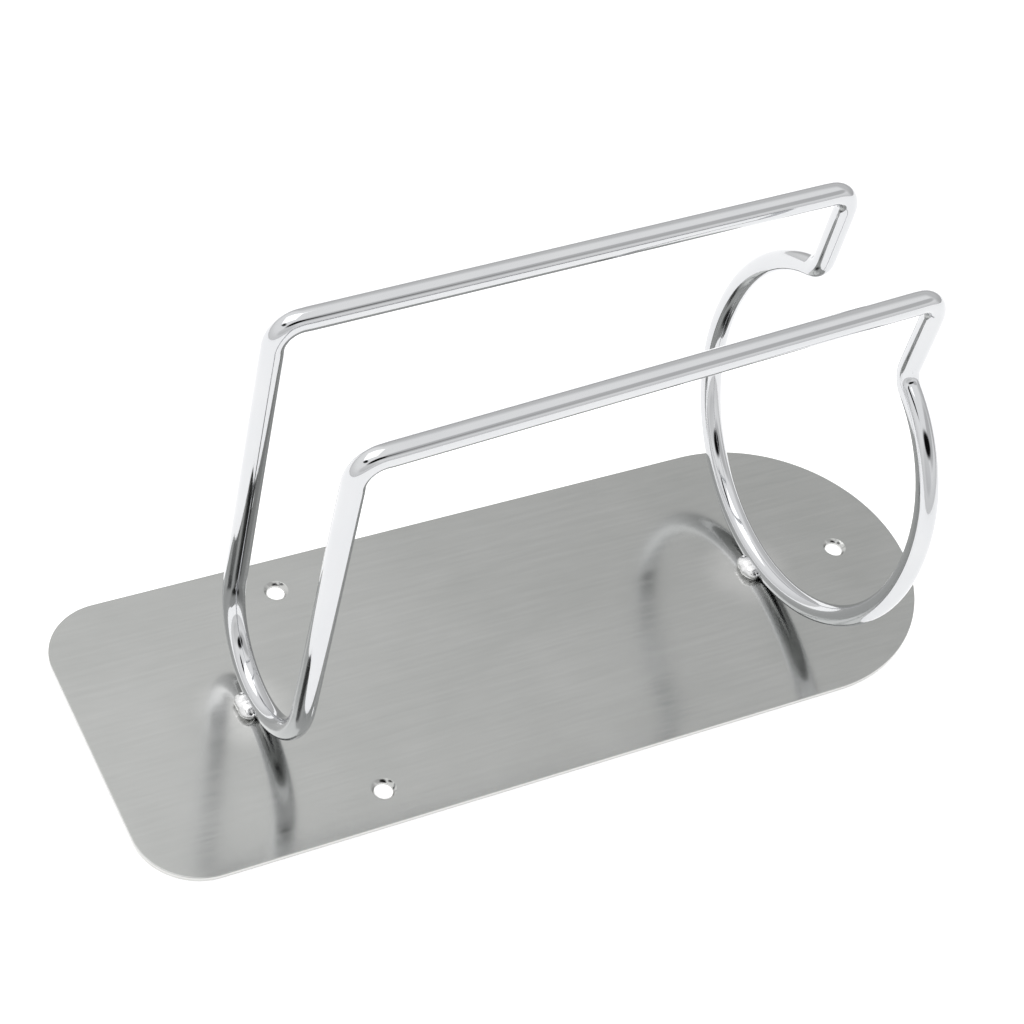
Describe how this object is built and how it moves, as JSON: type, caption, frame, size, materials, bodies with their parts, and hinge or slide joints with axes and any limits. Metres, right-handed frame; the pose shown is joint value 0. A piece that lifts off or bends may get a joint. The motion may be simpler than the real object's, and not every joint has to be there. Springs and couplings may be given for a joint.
{
  "type": "hair dryer holder",
  "caption": "Wall-mounted hair dryer holder: a flat steel plate with screw holes, and a bent wire frame with an open ring at one end and a narrow stirrup at the other.",
  "frame": {"origin": "centre of the plate's flat back face, which lies against the wall", "axes": "+X along the plate from its square end to its round end, +Z out of the plate towards the wire frame, Y across the plate"},
  "size_m": [0.2, 0.0854, 0.102],
  "materials": {
    "plate_steel": "satin sheet with a bright cut edge",
    "chromed_wire": "bright polished",
    "weld_metal": "rough weld bead"
  },
  "bodies": {
    "root": {"back_plate": "plate_steel", "wire_frame": "chromed_wire", "stirrup_weld": "weld_metal", "ring_weld": "weld_metal"}
  },
  "joints": []
}
